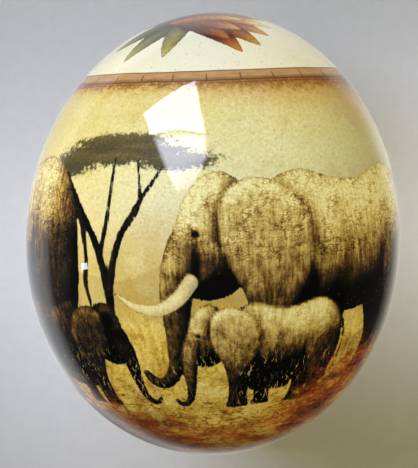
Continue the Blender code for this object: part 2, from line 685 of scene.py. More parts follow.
# %% Outline a flat-topped tree
LIMBS = [  # marks, and the width at even steps along them, in tree heights
    ([(0.0, -0.04), (0.02, 0.1), (0.03, 0.25), (-0.05, 0.5), (-0.28, 0.8)],
     [0.055, 0.03, 0.026, 0.02, 0.01]),
    ([(0.03, 0.22), (0.12, 0.5), (0.34, 0.82)], [0.026, 0.018, 0.008]),
    ([(-0.01, 0.4), (0.04, 0.6), (0.06, 0.88)], [0.017, 0.012, 0.008]),
    ([(-0.07, 0.52), (-0.2, 0.66), (-0.42, 0.82)], [0.014, 0.01, 0.006]),
    ([(0.11, 0.5), (0.22, 0.64), (0.2, 0.86)], [0.013, 0.01, 0.006]),
]
CLUMPS = [  # middle across and up, half width, half height
    (-0.36, 0.83, 0.26, 0.050), (-0.12, 0.90, 0.26, 0.055), (0.06, 0.95, 0.34, 0.060),
    (0.24, 0.90, 0.26, 0.050), (0.42, 0.85, 0.24, 0.048), (-0.24, 0.87, 0.2, 0.05),
    (0.05, 0.87, 0.2, 0.035),
]
print(f"a tree has {len(LIMBS)} limbs and {len(CLUMPS)} clumps of leaves")

# %% Draw the trees
TREES = [((-37, -27), 62), ((-150, -24), 62), ((104, -24), 46), ((186, -22), 56)]  # foot, height
LIMB_TONES = (0.06, 0.14)  # in the shade, and what light adds
LEAF_TONES = (0.20, 0.24)  # at the middle of a clump, and how much lighter its top is


def flat_topped_tree(foot, size):
    sketch = Sketch(foot, size, reach=1.0, top=1.1)
    for marks, widths in LIMBS:
        depth, light, _ = stroke(sketch, marks, widths)
        lay(sketch, "hide", "tone", depth, LIMB_TONES[0] + LIMB_TONES[1] * light)
    for across, height, half_width, half_height in CLUMPS:
        rise = (sketch.height - height) / half_height
        depth = (1.0 - np.hypot((sketch.across - across) / half_width, rise)) * half_height
        leaf_tone = LEAF_TONES[0] + LEAF_TONES[1] * np.clip(rise, -1.0, 1.0)
        lay(sketch, "tree", "leafage", depth, leaf_tone)
    keep(sketch)


for foot, tree_height in TREES:
    flat_topped_tree(foot, tree_height)
print(f"leaves cover {np.mean(drawing['tree'] > 0):.1%} of the points")

# %% [markdown]
# ## The animals
#
# Elephants make a good subject of a savanna print: big plain forms that still read on a curved
# surface. One set of outlines, in units of about a sixth of the animal's height, serves them all.
# The far legs are laid first and the ear and tusk last, so that each form overlaps the one
# behind. Soft brush marks then add what an outline can't: the brow, the cheek, the shoulder
# blade, the hip and the ribs.

# %% Outline an elephant
BODY = [
    (-3.15, 5.3), (-2.6, 5.85), (-1.9, 6.2), (-1.2, 6.25), (-0.3, 6.0), (0.7, 5.92), (1.7, 6.15),
    (2.6, 6.3), (3.5, 6.0), (4.15, 5.3), (4.45, 4.4), (4.4, 3.4), (4.1, 2.9), (3.4, 2.7),
    (2.4, 2.75), (1.2, 2.4), (0.2, 2.25), (-1.0, 2.4), (-2.0, 2.75), (-3.0, 3.2), (-3.5, 3.9),
    (-3.4, 4.7),
]
HEAD = [
    (-2.9, 5.4), (-3.3, 6.0), (-3.9, 6.3), (-4.5, 6.15), (-4.95, 5.65), (-5.2, 5.0), (-5.45, 4.3),
    (-5.6, 3.7), (-5.45, 3.2), (-4.9, 2.95), (-4.2, 2.85), (-3.5, 3.1), (-2.9, 3.8), (-2.5, 4.6),
]
TRUNK = [
    (-4.55, 5.1), (-4.95, 4.4), (-5.15, 3.7), (-5.3, 2.9), (-5.35, 2.1), (-5.42, 1.4), (-5.6, 0.75),
    (-5.95, 0.4), (-6.35, 0.42), (-6.6, 0.7),
]
TRUNK_WIDTHS = [0.2, 0.5, 0.55, 0.48, 0.38, 0.30, 0.25, 0.21, 0.18, 0.13]
EAR = [
    (-3.75, 5.7), (-3.1, 6.1), (-2.3, 6.0), (-1.6, 5.6), (-1.15, 4.9), (-1.1, 4.1), (-1.4, 3.3),
    (-1.85, 2.65), (-2.35, 2.1), (-2.8, 1.85), (-3.05, 2.3), (-3.3, 3.0), (-3.7, 3.7),
    (-3.95, 4.4), (-3.95, 5.1),
]
NEAR_FORELEG = [
    (-3.0, 3.7), (-3.05, 2.6), (-2.95, 1.6), (-2.98, 0.75), (-3.12, 0.2), (-2.98, 0.0),
    (-2.25, -0.04), (-1.65, 0.0), (-1.52, 0.2), (-1.62, 0.75), (-1.6, 1.6), (-1.4, 2.4),
    (-1.0, 3.2), (-1.6, 4.3), (-2.5, 4.5),
]
NEAR_HIND_LEG = [
    (2.2, 4.3), (2.0, 3.3), (2.25, 2.5), (2.55, 1.8), (2.72, 1.15), (2.62, 0.55), (2.46, 0.16),
    (2.6, 0.0), (3.4, -0.04), (4.0, 0.0), (4.12, 0.18), (3.97, 0.65), (3.97, 1.25), (4.17, 1.95),
    (4.42, 2.85), (4.5, 3.8), (4.3, 4.9), (3.3, 5.2),
]
FAR_FORELEG = [
    (-1.5, 3.0), (-1.45, 2.0), (-1.25, 1.2), (-1.2, 0.55), (-1.35, 0.25), (-1.2, 0.12),
    (-0.6, 0.1), (0.0, 0.12), (0.05, 0.3), (-0.1, 0.85), (-0.1, 1.5), (0.1, 2.2), (0.4, 3.0),
]
FAR_HIND_LEG = [
    (0.8, 3.1), (1.05, 2.3), (1.4, 1.6), (1.48, 1.0), (1.38, 0.5), (1.25, 0.22), (1.4, 0.1),
    (2.0, 0.08), (2.55, 0.12), (2.65, 0.3), (2.6, 0.95), (2.75, 1.7), (3.0, 2.4), (3.2, 3.1),
]
TUSK = [(-4.85, 3.35), (-5.25, 2.9), (-5.85, 2.62), (-6.55, 2.7), (-7.15, 3.05)]
TUSK_WIDTHS = [0.22, 0.2, 0.165, 0.11, 0.03]
TAIL = [(4.2, 5.2), (4.62, 4.5), (4.78, 3.7), (4.72, 3.0), (4.8, 2.4)]
TAIL_WIDTHS = [0.12, 0.1, 0.07, 0.09, 0.05]
EYE = (-4.66, 4.62)
print(f"the body's outline has {len(BODY)} marks, the head's {len(HEAD)} and the ear's {len(EAR)}")

# %% List the brush marks that finish it
BODY_TOUCHES = [  # a line of marks, the brush's width, and how much lighter or darker
    ([(-1.1, 5.9), (-0.3, 5.6), (0.8, 5.5), (1.8, 5.75), (2.9, 5.9)], 0.45, 0.13),
    ([(-0.75, 5.2), (-0.35, 4.5), (-0.45, 3.7), (-0.8, 3.2)], 0.32, 0.10),
    ([(-0.25, 5.3), (0.15, 4.5), (0.0, 3.6), (-0.5, 2.9)], 0.28, -0.13),
    ([(0.7, 4.9), (0.95, 4.2), (0.8, 3.5)], 0.16, -0.05),
    ([(1.15, 4.9), (1.4, 4.2), (1.25, 3.5)], 0.16, -0.05),
    ([(1.6, 4.8), (1.8, 4.2), (1.65, 3.6)], 0.16, -0.04),
    ([(0.92, 4.9), (1.15, 4.2), (1.02, 3.5)], 0.15, 0.05),
    ([(1.38, 4.9), (1.6, 4.2), (1.45, 3.5)], 0.15, 0.05),
    ([(2.3, 5.0), (2.05, 4.2), (2.15, 3.4)], 0.25, -0.14),
    ([(2.9, 5.6), (2.75, 4.9), (2.9, 4.2), (3.2, 3.7)], 0.5, 0.12),
    ([(0.0, 2.6), (1.0, 2.65), (2.0, 2.95)], 0.45, -0.12),
    ([(1.2, 2.9), (1.9, 3.2), (2.4, 3.8)], 0.2, -0.10),
]
LEG_TOUCHES = [
    ([(-2.85, 1.75), (-2.3, 1.6), (-1.75, 1.75)], 0.10, -0.06),
    ([(-2.85, 1.45), (-2.3, 1.3), (-1.75, 1.45)], 0.10, -0.06),
    ([(-2.7, 2.6), (-2.65, 1.8), (-2.7, 0.9)], 0.22, 0.07),
    ([(2.65, 1.6), (3.2, 1.45), (3.9, 1.6)], 0.10, -0.06),
    ([(2.8, 2.4), (2.95, 1.7), (2.95, 0.9)], 0.25, 0.06),
    ([(3.6, 3.4), (3.75, 2.4), (3.7, 1.2)], 0.3, -0.06),
]
TOENAILS = [(-2.9, 0.14), (-2.55, 0.1), (-2.15, 0.1), (2.72, 0.14), (3.08, 0.1), (3.5, 0.1)]
HEAD_TOUCHES = [
    ([(-4.95, 5.3), (-4.6, 5.85), (-4.1, 6.0)], 0.28, 0.12),
    ([(-4.25, 5.5), (-4.05, 5.0), (-4.1, 4.5)], 0.24, -0.16),
    ([(-5.0, 4.95), (-4.75, 4.95), (-4.45, 4.8)], 0.10, 0.12),
    ([(-4.95, 4.78), (-4.66, 4.8), (-4.38, 4.66)], 0.07, -0.13),
    ([(-4.9, 4.42), (-4.62, 4.34), (-4.35, 4.42)], 0.08, -0.14),
    ([(-4.85, 4.2), (-4.5, 4.1), (-4.2, 4.25)], 0.12, 0.07),
    ([(-4.3, 4.0), (-4.05, 3.6), (-4.1, 3.2)], 0.2, -0.12),
    ([(-5.0, 3.08), (-4.6, 3.2), (-4.15, 3.5)], 0.08, -0.22),
    ([(-4.75, 3.75), (-4.5, 3.5)], 0.25, 0.09),
]
EAR_TOUCHES = [
    ([(-3.6, 5.6), (-2.9, 5.85), (-2.2, 5.72), (-1.65, 5.3)], 0.16, 0.12),
    ([(-3.7, 5.1), (-3.3, 4.9), (-2.7, 4.95), (-2.0, 4.6)], 0.20, -0.09),
    ([(-3.6, 4.7), (-3.0, 4.4), (-2.4, 4.0), (-2.0, 3.4)], 0.16, -0.08),
    ([(-3.5, 4.2), (-3.0, 3.8), (-2.7, 3.2), (-2.6, 2.6)], 0.16, -0.08),
    ([(-3.4, 4.55), (-2.8, 4.25), (-2.25, 3.75)], 0.14, 0.06),
    ([(-3.3, 4.0), (-2.9, 3.5), (-2.75, 2.9)], 0.13, 0.06),
    ([(-1.35, 4.8), (-1.35, 4.0), (-1.75, 3.1), (-2.3, 2.4)], 0.16, 0.07),
    ([(-1.7, 4.6), (-1.75, 3.9), (-2.15, 3.1)], 0.2, -0.07),
]
brush_marks = len(BODY_TOUCHES + LEG_TOUCHES + HEAD_TOUCHES + EAR_TOUCHES)
print(f"{brush_marks} brush marks and {len(TOENAILS)} toenails")

# %% [markdown]
# ## How light an elephant is
#
# The light in the picture comes from above, so an elephant's back is bright and its belly and
# feet lie in shade. That could be left to the rounding of each form, but one form doesn't know
# that another stands over it. So the height in the sketch dims the light as well, slowly towards
# the belly for the body and towards the ground for the legs.

# %% Set the tones of its forms
TONES = {  # in full shade, and what full light adds
    "far leg": (0.015, 0.10), "tail": (0.05, 0.20), "body": (0.26, 0.66), "near leg": (0.03, 0.46),
    "head": (0.06, 0.92), "trunk": (0.05, 0.74), "ear": (0.30, 0.52), "tusk": (0.60, 0.38),
}
BODY_SHADE = 0.04
EAR_SHADE = 0.13
BODY_HEIGHTS = (1.7, 5.3)  # where the light on the body begins, and where it is full
LEG_HEIGHTS = (0.3, 4.5)
FOOT_LIGHT = 0.35  # of the light higher up the leg


def toned(name, light):
    shade, gain = TONES[name]
    return shade + gain * light


def body_light(sketch, bright):
    return smoothstep(*BODY_HEIGHTS, sketch.height) * bright


def leg_light(sketch, bright):
    return (FOOT_LIGHT + (1.0 - FOOT_LIGHT) * smoothstep(*LEG_HEIGHTS, sketch.height)) * bright


print(f"lit, a head's tone is {toned('head', 1.0):.2f}, a far leg's {toned('far leg', 1.0):.2f}")


# %% Draw the far legs, the tail and the body
FAR_LEG_BULGE, BODY_BULGE = 0.5, 1.6  # how wide a form's rounded rim is
LEAST_TOUCH = 0.4  # how much of a brush mark is left where the body is dark


def draw_body(sketch, bright):
    for leg in (FAR_FORELEG, FAR_HIND_LEG):
        depth, light = form(sketch, leg, FAR_LEG_BULGE)
        lay(sketch, "hide", "tone", depth, toned("far leg", light * leg_light(sketch, bright)))
    depth, light, _ = stroke(sketch, TAIL, TAIL_WIDTHS)
    lay(sketch, "hide", "tone", depth, toned("tail", light))
    depth, light = form(sketch, BODY, BODY_BULGE)
    lift = body_light(sketch, bright)
    lay(sketch, "hide", "tone", depth, BODY_SHADE + lift * toned("body", light))
    for marks, width, amount in BODY_TOUCHES:
        touch(sketch, marks, width, amount * (LEAST_TOUCH + (1.0 - LEAST_TOUCH) * lift))


print(f"{len(BODY_TOUCHES)} of the brush marks round off the body")


# %% Draw the near legs
NEAR_LEGS = [(NEAR_HIND_LEG, 5.0), (NEAR_FORELEG, 4.3)]  # and the height where each joins the body
NEAR_LEG_BULGE = 0.7
LEG_JOIN = 1.5  # how far down from there it blends in
NAIL_MARK = (0.08, 0.10, 0.22)  # length, the brush's width, and how much lighter


def draw_near_legs(sketch, bright):
    for leg, joint in NEAR_LEGS:
        depth, light = form(sketch, leg, NEAR_LEG_BULGE)
        tone = toned("near leg", light * leg_light(sketch, bright))
        lay(sketch, "hide", "tone", depth, tone, smoothstep(joint, joint - LEG_JOIN, sketch.height))
    for marks, width, amount in LEG_TOUCHES:
        touch(sketch, marks, width, amount * bright)
    length, width, amount = NAIL_MARK
    for nail, ground in TOENAILS:
        touch(sketch, [(nail, ground), (nail + length, ground)], width, amount * bright)


print(f"{len(LEG_TOUCHES)} more finish the legs")


# %% Draw the head and the trunk
HEAD_BULGE = 1.2
HEAD_SHADE = 0.3  # of its light, where the body has none
TRUNK_RINGS = (0.10, 90.0, 17.0)  # how dark its rings are, how close, and how uneven
TRUNK_START = (0.03, 0.20)  # the shares along the trunk over which it grows out of the head


def draw_head(sketch, bright):
    depth, light = form(sketch, HEAD, HEAD_BULGE)
    light *= (HEAD_SHADE + (1.0 - HEAD_SHADE) * body_light(sketch, bright)) * bright
    lay(sketch, "hide", "tone", depth, toned("head", light))
    for marks, width, amount in HEAD_TOUCHES:
        touch(sketch, marks, width, amount)
    depth, light, share = stroke(sketch, TRUNK, TRUNK_WIDTHS)
    dark, close, uneven = TRUNK_RINGS
    rings = 1.0 - dark * (1.0 + np.sin(close * share + 2.0 * np.sin(uneven * share)))
    tone = toned("trunk", light * leg_light(sketch, bright) * rings)
    lay(sketch, "hide", "tone", depth, tone, smoothstep(*TRUNK_START, share))


print(f"{len(HEAD_TOUCHES)} shape the head")


# %% Draw the ear, the tusk and the eye
EAR_BULGE = 0.45
EAR_HEIGHTS = (1.8, 5.8)  # where the light on it begins, and where it is full
EAR_LEAST = 0.30  # of its light, at the lower end
EYE_SIZE = (0.17, 0.08)  # where its dark begins, and where it is darkest
EYE_SHAPE = 1.4  # times as wide as high
EYE_DARKENS = 0.9
TUSK_ROOT = (0.3, 0.0, 0.2)  # from which share to which it darkens towards its root, and how much


def draw_ear(sketch, bright):
    depth, light = form(sketch, EAR, EAR_BULGE)
    lift = (EAR_LEAST + (1.0 - EAR_LEAST) * smoothstep(*EAR_HEIGHTS, sketch.height)) * bright
    lay(sketch, "hide", "tone", depth, EAR_SHADE + toned("ear", light) * lift)
    for marks, width, amount in EAR_TOUCHES:
        touch(sketch, marks, width, amount * (0.5 + 0.5 * bright))


def draw_tusk(sketch):
    depth, light, share = stroke(sketch, TUSK, TUSK_WIDTHS)
    begins, ends, amount = TUSK_ROOT
    root = amount * smoothstep(begins, ends, share)
    lay(sketch, "hide", "tone", depth, toned("tusk", light) - root)
    sketch.layers["ivory"] = np.maximum(sketch.layers["ivory"], depth * sketch.size)


def draw_eye(sketch):
    away = np.hypot(sketch.across - EYE[0], EYE_SHAPE * (sketch.height - EYE[1]))
    sketch.layers["tone"] *= 1.0 - EYE_DARKENS * smoothstep(*EYE_SIZE, away)


print(f"{len(EAR_TOUCHES)} fold the ear")

# %% Draw the herd round the egg
HERD = [  # foot, mm to a unit, facing, how dark it is all over, whether it has tusks
    ((-98, -44), 11.5, 1, 0.2, True), ((45, -46), 10.8, 1, 0.0, True),
    ((21, -53), 5.8, 1, 0.15, False), ((-62, -52), 5.8, -1, 0.78, False),
    ((164, -40), 8.4, 1, 0.2, True), ((119, -47), 4.4, 1, 0.1, False),
]
WRINKLE_SIZE = 12.0  # mm to a unit of an elephant whose creases are at full strength

for foot, size, facing, dark, has_tusks in HERD:
    sketch = Sketch(foot, size, facing)
    draw_body(sketch, 1.0 - dark)
    draw_near_legs(sketch, 1.0 - dark)
    draw_head(sketch, 1.0 - dark)
    draw_ear(sketch, 1.0 - dark)
    if has_tusks:
        draw_tusk(sketch)
    draw_eye(sketch)
    sketch.layers["tone"] = np.clip(sketch.layers["tone"], 0.0, 1.0)
    sketch.layers["wrinkle"][sketch.layers["hide"] > 0] = size / WRINKLE_SIZE
    keep(sketch)
print(f"hide covers {np.mean(drawing['hide'] > 0):.1%} of the points")

# %% [markdown]
# ## The flower on the crown
#
# The paper ends in a printed ring near the crown, and a single motif fills the cream cap inside
# it: here a protea on its side, with pointed leaves behind it. The cap is nearly flat, so the
# flower is drawn straight on it, seen along the egg's axis. Petals and leaves all have one
# pointed outline, so a formula draws them better than marks would.

# %% Set out the petals and leaves
PETALS = [  # root, tip, half width, tone: from the back of the flower to the front
    ((-8, 16), (12, 36), 4.6, 0.30), ((-8, 14), (12, -4), 4.6, 0.30),
    ((-6, 17), (18, 31), 4.6, 0.36), ((-6, 13), (18, 1), 4.4, 0.36),
    ((-4, 17), (21, 24), 4.4, 0.44), ((-4, 13), (21, 9), 4.4, 0.42),
    ((0, 15), (22, 17), 4.2, 0.80), ((-10, 16), (8, 31), 4.2, 0.28),
    ((-10, 14), (8, 1), 4.2, 0.28), ((-11, 16), (12, 25), 4.2, 0.42),
    ((-11, 14), (12, 8), 4.2, 0.40), ((-12, 15), (13, 16), 4.0, 0.58),
]
CROWN_LEAVES = [
    ((-5, 16), (-27, 27), 4.2, 0.45), ((-5, 12), (-25, 1), 4.0, 0.5),
    ((-5, 15), (-30, 15), 4.4, 0.35), ((-5, 17), (-14, 35), 3.8, 0.6),
    ((-6, 10), (-11, -9), 3.6, 0.4),
]


def pointed(spots, root, tip, half_width):
    """The depth inside a pointed leaf or petal, and how far along and across it a spot is."""
    root, tip = np.array(root, float), np.array(tip, float)
    length = np.linalg.norm(tip - root)
    run = (tip - root) / length
    along_it = (spots - root) @ run / length
    across_it = (spots - root) @ np.array((-run[1], run[0]))
    inside = np.clip(along_it, 0.0, 1.0)
    half = half_width * np.sin(math.pi * inside**0.8) ** 0.75
    beyond = np.maximum(np.maximum(-along_it, along_it - 1.0), 0.0) * length
    return half - np.abs(across_it) - beyond, along_it, across_it / half_width


print(f"{len(PETALS)} petals and {len(CROWN_LEAVES)} leaves")

# %% Draw the flower
CAP_START = 0.3  # of the egg's length from its middle: no petal reaches lower
RIB_LIGHT = 0.25  # how much lighter a petal's middle line is than its edges
TIP_LIGHT = 0.35  # and its tip than its root
PETAL_DARKENS = 0.5  # how much of the light a petal takes from what lies behind it
PETAL_SHADOW = 0.8  # how far that goes, in mm

cap = print_y > CAP_START * egg_length / MM
cap_spots = np.stack([print_x[cap], print_z[cap]], axis=1)
glow = drawing["glow"][cap]
for layer, shapes in (("leaf", CROWN_LEAVES), ("petal", PETALS)):
    for root, tip, half_width, tone in shapes:
        depth, along_it, across_it = pointed(cap_spots, root, tip, half_width)
        lightness = tone - RIB_LIGHT * np.abs(across_it) + TIP_LIGHT * smoothstep(0.5, 1.0, along_it)
        glow *= 1.0 - PETAL_DARKENS * np.exp(-np.maximum(-depth, 0.0) / PETAL_SHADOW)
        glow += smoothstep(-0.3, 0.5, depth) * (np.clip(lightness, 0.05, 1.0) - glow)
        drawing[layer][cap] = np.maximum(drawing[layer][cap], depth)
drawing["glow"][cap] = glow
print(f"the flower covers {np.mean(drawing['petal'][cap] > 0):.0%} of the crown's points")

# %% [markdown]
# ## Keep the drawing
#
# Each layer becomes an attribute of the mesh, which is a number that every point carries and the
# material can read. An image wrapped round the egg would do the same, but it would need a file
# of its own, and a seam.

# %% Keep the drawing on the mesh
HILLS = [(3, 2.6, 0.4), (7, 1.5, 2.1), (13, 0.8, 4.0)]  # count round the egg, height, start
SKYLINE = -4.0  # the hills' middle height, in mm

skyline = np.full(len(places), SKYLINE)
for count, tall, start in HILLS:
    skyline += tall * np.sin(count * around / around_scale + start)
drawing["hill"] = np.clip(skyline - along, NOWHERE, -NOWHERE)
for name, values in drawing.items():
    layer = mesh.attributes.new(name, "FLOAT", "POINT")
    layer.data.foreach_set("value", np.ascontiguousarray(values, dtype=np.float32))
print("kept on the mesh:", ", ".join(drawing))

# %% [markdown]
# ## The varnished print
#
# A printer starts with the paper, lays one ink over another and ends with a clear varnish. The
# material works in the same order. Each layer is a mask, which says where, and a colour. All of
# it is measured in millimetres from the egg's middle, in the direction of the print. Noise in
# all three directions of space gives the grain, so it has neither a seam nor a stretched pole.

# %% Begin the material
material = bpy.data.materials.new("varnished_print")
material.use_nodes = True
tree = material.node_tree


def drawn(name):
    """A layer of the drawing, as the mesh keeps it."""
    node = tree.nodes.new("ShaderNodeAttribute")
    node.attribute_name = name
    return node.outputs["Fac"]


def squeezed(x, y, z):
    """The place on the print with its numbers multiplied, so that noise in it makes strokes."""
    node = tree.nodes.new("ShaderNodeVectorMath")
    node.operation = "MULTIPLY"
    wire(place, node.inputs[0])
    wire((x, y, z), node.inputs[1])
    return node.outputs["Vector"]


def creases(where, size, width):
    """0 along wandering lines, which lie where a noise crosses its middle, and 1 elsewhere."""
    return step(maths("ABSOLUTE", noise(where, size, 2.0, 0.5)), 0.0, width)


def report(layer):
    print(f"{layer}: {len(tree.nodes)} nodes so far")


report("an empty material")

# %% Measure along the print
mapping = tree.nodes.new("ShaderNodeMapping")
mapping.vector_type = "TEXTURE"
mapping.inputs["Location"].default_value = egg_middle
mapping.inputs["Rotation"].default_value = (0.0, 0.0, PRINT_LEAN)
mapping.inputs["Scale"].default_value = (MM, MM, MM)
wire(tree.nodes.new("ShaderNodeTexCoord").outputs["Object"], mapping.inputs["Vector"])
place = mapping.outputs["Vector"]
sideways, height, upwards = parts_of(place)
upright = squeezed(1.0, 0.16, 1.0)  # noise in it makes strokes along the egg
level = squeezed(0.2, 1.0, 0.2)  # and in this, strokes around it
report("places on the print")

# %% [markdown]
# ## Paper and sky
#
# The sky is old paper: ochre low down, pale cream higher up and golden again under the ring, with
# broad paler clouds, a few brown stains and a fine speckle. A ramp along the egg makes the bands,
# and noises of three sizes do the rest. Towards both sides the paper is painted darker, as shade:
# greyer on the right and yellower on the left.

# %% Lay the sky
SKY_RANGE = (-62.0, 54.0)  # the heights that its tones run between
SKY_TONES = [
    (0.0, (0.42, 0.22, 0.025)), (0.3, (0.58, 0.39, 0.07)), (0.5, (0.68, 0.53, 0.20)),
    (0.72, (0.83, 0.77, 0.50)), (0.88, (0.87, 0.82, 0.45)), (1.0, (0.86, 0.72, 0.27)),
]
CLOUD_SIZE = 24.0
CLOUD_COLOUR = (0.91, 0.87, 0.56)
STAIN_SIZE = 9.0
STAIN_COLOUR = (0.55, 0.36, 0.09)
SPECKLE_SIZE = 1.1
SPECKLE_TONES = [(0.30, (0.80, 0.76, 0.66)), (0.62, (1.0, 1.0, 1.0))]

sky = ramp(step(height, *SKY_RANGE), SKY_TONES)
clouds = step(noise(place, CLOUD_SIZE, 4.0, 0.6), -0.12, 0.2, 0.0, 0.7)
colour = blend(clouds, sky, CLOUD_COLOUR)
stains = step(noise(place, STAIN_SIZE, 5.0, 0.65), 0.02, 0.25, 0.0, 0.35)
colour = blend(stains, colour, STAIN_COLOUR)
speckle = noise(place, SPECKLE_SIZE, 4.0, 0.72)
colour = blend(1.0, colour, ramp(plus(speckle, 0.5), SPECKLE_TONES), "MULTIPLY")
report("sky")

# %% Paint shade on the two sides
SIDE_SHADES = [  # where it begins and is full, how strong, the colour
    (18.0, 62.0, 0.58, (0.42, 0.37, 0.22)),
    (-12.0, -55.0, 0.42, (0.61, 0.46, 0.10)),
]

# Painted shade: the paper grows darker towards both sides, greyer on the right and yellower on the
# left.
for begins, full, strength, side_shade in SIDE_SHADES:
    colour = blend(step(sideways, begins, full, 0.0, strength), colour, side_shade)
report("painted side shade")

# %% [markdown]
# ## Hills and dry ground
#
# The hills are a faint even wash under a wavy skyline. The ground is dry grass: blades in dark
# and golden browns, which stand along the egg, so their noise is drawn out that way. Bare reddish
# patches and a few twigs break it up towards the base. Grass could be drawn blade by blade, but
# at this scale it reads as grain.

# %% Wash in the hills
HILL_COLOUR = (0.44, 0.29, 0.075)
HILL_STRENGTH = 0.40
HILL_RAGGED = 2.0  # how uneven the skyline is, in mm

hill_depth = plus(drawn("hill"), times(noise(place, 1.4), HILL_RAGGED))
colour = blend(step(hill_depth, 0.2, 1.0, 0.0, HILL_STRENGTH), colour, HILL_COLOUR)
report("hills")

# %% Grow the dry grass
GRASS_TOP = -15.0
GRASS_TONES = [
    (0.26, (0.06, 0.02, 0.003)), (0.40, (0.27, 0.125, 0.012)), (0.53, (0.52, 0.32, 0.035)),
    (0.68, (0.80, 0.58, 0.11)), (0.85, (0.92, 0.78, 0.31)),
]
GRASS_TONE = 0.64  # the middle of its tones
GRASS_RAGGED = 16.0
GRASS_BLEND = 14.0  # mm down from its top, over which it grows thick
GRASS_STRENGTH = 0.88
TUFT_SIZE = 1.5

tuft = noise(upright, TUFT_SIZE, 5.0, 0.72)
broad = noise(squeezed(0.6, 1.0, 0.6), 7.0)
grass_tone = times_plus(tuft, 0.7, times_plus(speckle, 0.6, times(broad, 0.7)))
grass_depth = plus(minus(GRASS_TOP, height), times(tuft, GRASS_RAGGED))
grass = ramp(plus(grass_tone, GRASS_TONE), GRASS_TONES)
colour = blend(step(grass_depth, 0.0, GRASS_BLEND, 0.0, GRASS_STRENGTH), colour, grass)
report("grass")

# %% Bare the red earth, and scatter twigs
EARTH_HEIGHTS = (-32.0, -44.0)  # where it begins, and where there is most of it
EARTH_PATCH = 10.0
EARTH_STRENGTH = 0.55
EARTH_COLOUR = (0.36, 0.12, 0.008)
TWIG_HEIGHTS = (-34.0, -46.0)
TWIG_SIZE = 2.0
TWIG_STRENGTH = 0.9
TWIG_COLOUR = (0.24, 0.06, 0.004)

earth = step(noise(place, EARTH_PATCH), 0.0, 0.22, 0.0, EARTH_STRENGTH)
earth = times(earth, step(height, *EARTH_HEIGHTS))
colour = blend(earth, colour, EARTH_COLOUR)
twigs = minus(1.0, creases(squeezed(0.35, 0.9, 0.35), TWIG_SIZE, 0.05))
twiggy = step(noise(place, 4.0), 0.0, 0.08, 0.0, TWIG_STRENGTH)
twiggy = times(twiggy, step(height, *TWIG_HEIGHTS))
colour = blend(times(twigs, twiggy), colour, TWIG_COLOUR)
report("earth and twigs")

# %% [markdown]
# ## Trees and hide in ink
#
# Both were drawn as a depth and a tone. The depth becomes the mask, and noise added to it first
# roughens the edge: a lot for leaves, and just a little for hide. The tone picks the ink from a
# ramp, nearly black in the shade and pale gold in the light. An elephant's hide is also creased,
# with broad folds round the body, finer ones between them and some across. Each is a thin dark
# line where a noise crosses its middle, which is cheaper than to sculpt them and looks as well in
# a print.

# %% Print the trees
LEAF_RAGGED = 6.0
LEAF_INKS = [
    (0.05, (0.012, 0.009, 0.004)), (0.35, (0.09, 0.055, 0.015)), (0.6, (0.25, 0.17, 0.045)),
    (0.9, (0.50, 0.38, 0.13)),
]

leafy_depth = plus(drawn("tree"), times(noise(place, 1.3, 4.0, 0.72), LEAF_RAGGED))
leaf_ink = ramp(plus(drawn("leafage"), times(noise(place, 0.7), 0.9)), LEAF_INKS)
colour = blend(step(leafy_depth, -0.5, 0.8, 0.0, 0.92), colour, leaf_ink)
report("trees")

# %% Crease the hide
CREASES = [  # how the noise is squeezed, the size of its spots, the lines' width, how dark they are
    ((0.5, 1.0, 0.5), 2.6, 0.055, 0.60),
    ((0.6, 1.0, 0.6), 1.1, 0.08, 0.50),
    ((1.0, 0.35, 1.0), 1.6, 0.05, 0.35),
]

creased = 1.0
for squeeze, size, width, darkness in CREASES:
    lines = creases(squeezed(*squeeze), size, width)
    creased = times(creased, times_plus(lines, darkness, 1.0 - darkness))
folded = times(step(noise(place, 6.0), -0.14, 0.18, 0.3, 0.8), drawn("wrinkle"))
tone = times(drawn("tone"), minus(1.0, times(minus(1.0, creased), folded)))
report("creases")

# %% Print the elephants
HIDE_INKS = [
    (0.0, (0.003, 0.0028, 0.0025)), (0.12, (0.014, 0.011, 0.008)), (0.24, (0.070, 0.034, 0.010)),
    (0.36, (0.20, 0.108, 0.026)), (0.50, (0.41, 0.275, 0.075)), (0.70, (0.68, 0.53, 0.18)),
    (1.0, (0.92, 0.84, 0.45)),
]
IVORY_COLOUR = (0.80, 0.70, 0.38)
MIDDLE_TONE = 0.42
CONTRAST = 1.22  # lighter and darker than the middle tone by that factor
HIDE_RAGGED = 1.6

uneven = times_plus(noise(place, 6.0), 0.5, noise(upright, 1.3, 5.0, 0.75))
tone = times_plus(uneven, step(drawn("tone"), 0.04, 0.4, 0.12, 0.85), tone)
tone = times_plus(minus(tone, MIDDLE_TONE), CONTRAST, MIDDLE_TONE)
hide_depth = plus(drawn("hide"), times(noise(upright, 0.8, 4.0, 0.7), HIDE_RAGGED))
colour = blend(step(hide_depth, -0.2, 0.2), colour, ramp(tone, HIDE_INKS))
colour = blend(step(drawn("ivory"), -0.1, 0.2, 0.0, 0.5), colour, IVORY_COLOUR)
report("elephants")

# %% [markdown]
# ## Stalks before the feet
#
# Something has to stand in front of the animals, or their feet look cut out and stuck on. Pale
# dry stalks do it: thin leaning lines at even steps round the egg, bent by noise and broken into
# tufts. Two sets that lean opposite ways hide that each is regular.

# %% Let dry stalks stand before the feet
STALKS = [(2.3, 0.10), (3.1, -0.14)]  # mm between them, and how they lean
STALK_BEND = 2.2
STALK_WIDTH = (0.02, 0.09)  # of the spacing: where it begins to thin out, and where it ends
STALK_HEIGHTS = (-29.0, -40.0)
STALK_COLOUR = (0.68, 0.48, 0.17)
STALK_STRENGTH = 0.8

